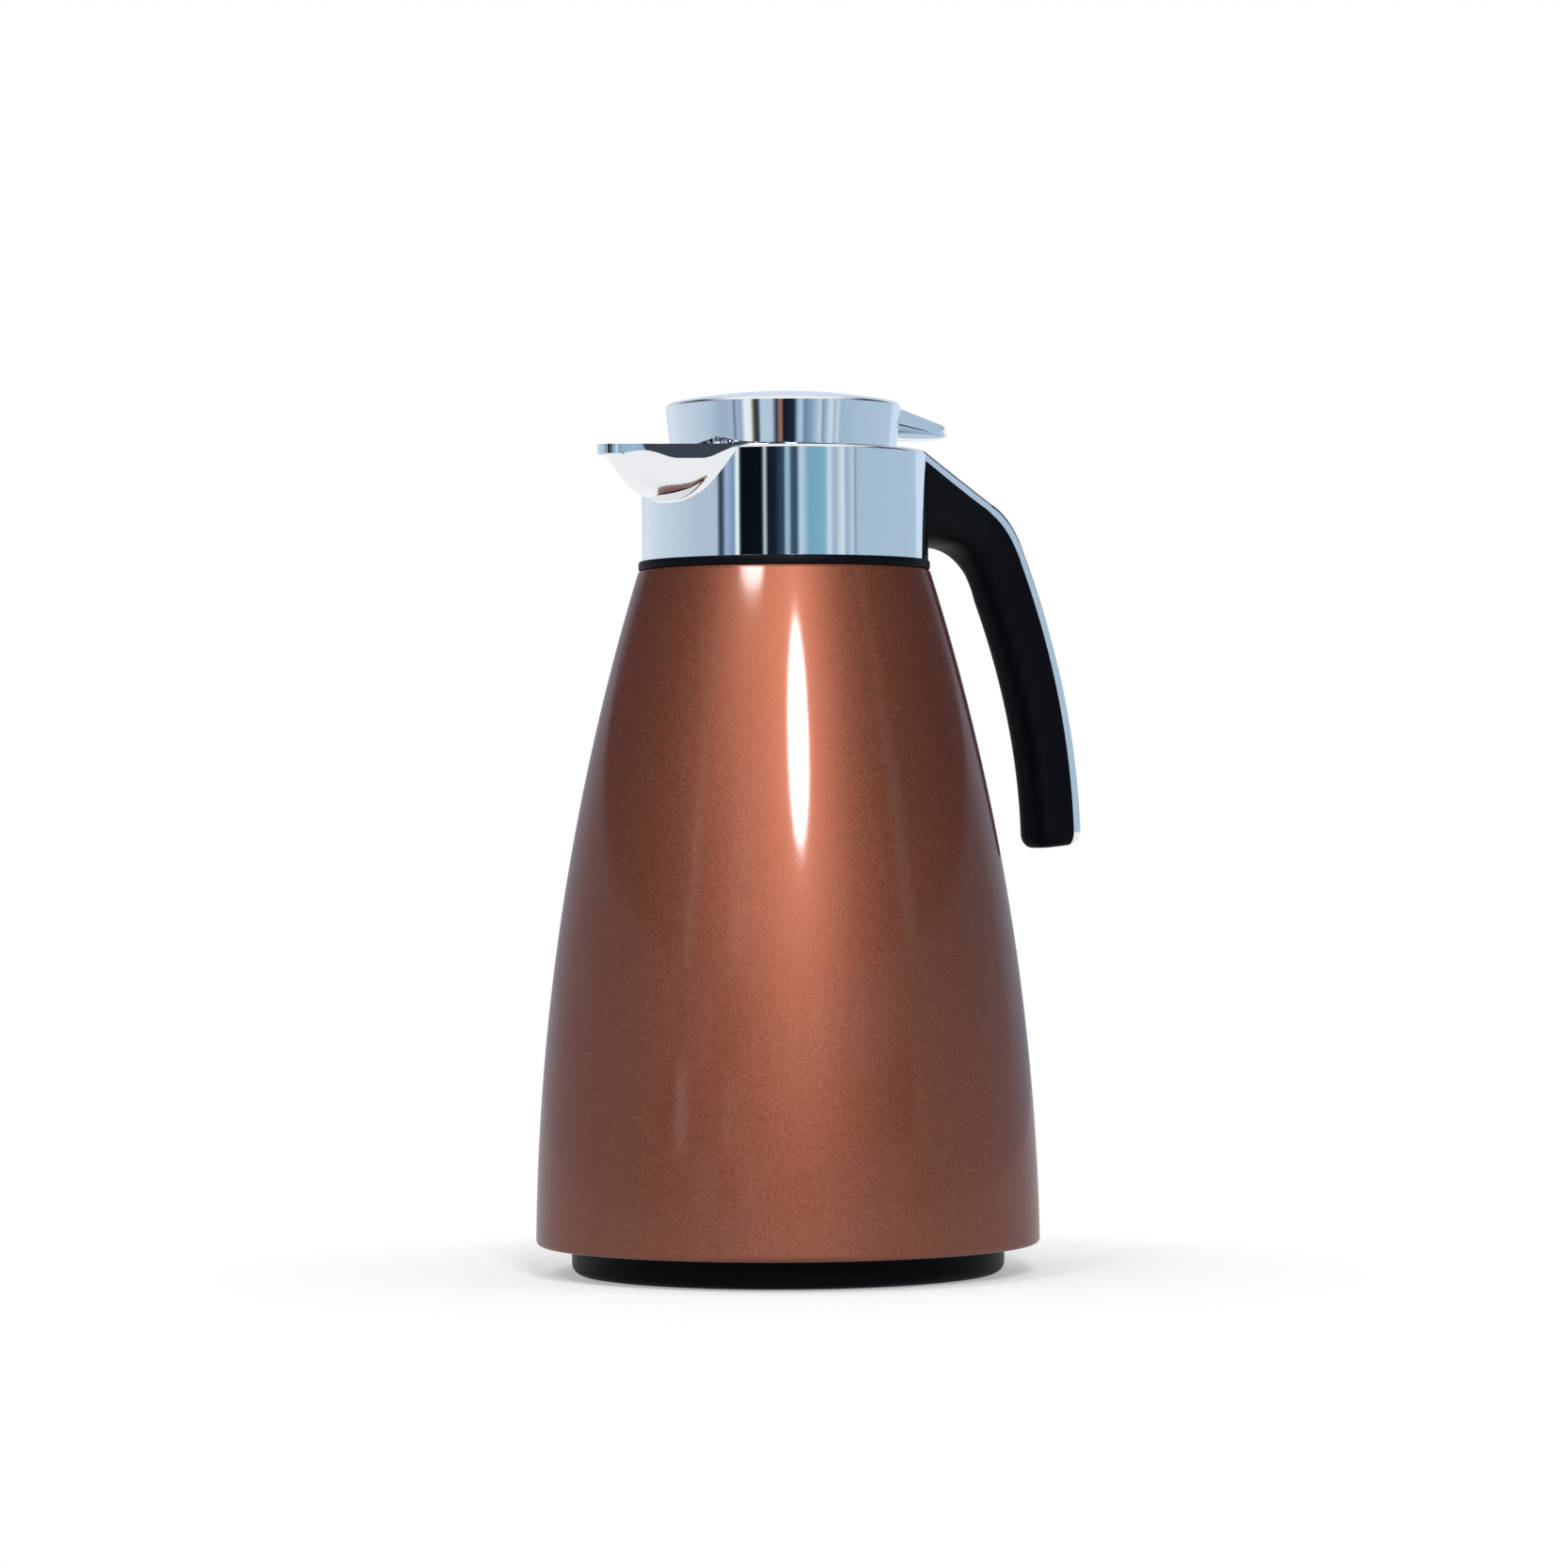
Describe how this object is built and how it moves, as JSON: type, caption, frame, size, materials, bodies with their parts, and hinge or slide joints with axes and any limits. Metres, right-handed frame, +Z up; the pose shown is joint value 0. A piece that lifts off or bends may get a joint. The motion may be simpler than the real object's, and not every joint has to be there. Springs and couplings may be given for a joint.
{
  "type": "insulated pouring jug",
  "caption": "Bell-shaped insulated jug with a painted shell, plated collar and V-shaped spout, a hanging grip, and a lift-out lid whose thumb lever opens a sprung pouring valve.",
  "frame": {"origin": "on the jug's axis at the height of the table it stands on", "axes": "+Z up along the jug's axis, +X towards the handle, -X towards the spout"},
  "size_m": [0.1791, 0.1458, 0.2554],
  "materials": {
    "shell_paint": "copper flake under clear coat",
    "plating": "polished",
    "black_satin": "satin",
    "black_soft": "matte",
    "black_rubber": "matte",
    "silicone": "matte",
    "silvered_glass": "silvered",
    "steel": "plain"
  },
  "bodies": {
    "jug": {"body_shell": "shell_paint", "retaining_ring": "black_satin", "base_foot": "black_satin", "foot_pad": "black_rubber", "base_screws": "steel", "flask_cushion": "black_rubber", "flask_outer": "silvered_glass", "flask_inner": "silvered_glass", "neck_gasket": "silicone", "neck_ring": "black_satin", "collar": "plating", "neck_sleeve": "black_satin", "handle_grip": "black_soft", "handle_trim": "plating", "handle_screws": "steel"},
    "seal": {"stopper_seal": "silicone"},
    "lid": {"stopper_body": "black_satin", "lid_cap": "plating", "lid_screws": "steel", "lever_pin": "steel", "stem_bush": "silicone", "valve_spring": "steel"},
    "lever": {"thumb_lever": "plating"},
    "valve": {"valve_stem": "steel", "valve_disc": "black_satin", "valve_washer": "silicone", "spring_cap": "steel"}
  },
  "joints": [
    {"name": "lid_lift", "type": "slide", "parent": "jug", "child": "seal", "axis": [0, 0, 1], "range_m": [0, 0.06]},
    {"name": "lid_turn", "type": "hinge", "parent": "seal", "child": "lid", "pos_m": [0, 0, 0.2052], "axis": [0, 0, 1], "range_deg": [0, 90]},
    {"name": "lever_press", "type": "hinge", "parent": "lid", "child": "lever", "pos_m": [-0.024, 0, 0.2479], "axis": [0, 1, 0], "range_deg": [0, 4], "stiffness_Nm_per_rad": 4, "springref_deg": -2.86},
    {"name": "valve_slide", "type": "slide", "parent": "lid", "child": "valve", "axis": [0, 0, -1], "range_m": [0, 0.0018], "deforming": ["valve_spring"]}
  ],
  "couplings": [
    {"joint": "valve_slide", "follows": "lever_press", "m_per_rad": 0.024}
  ]
}
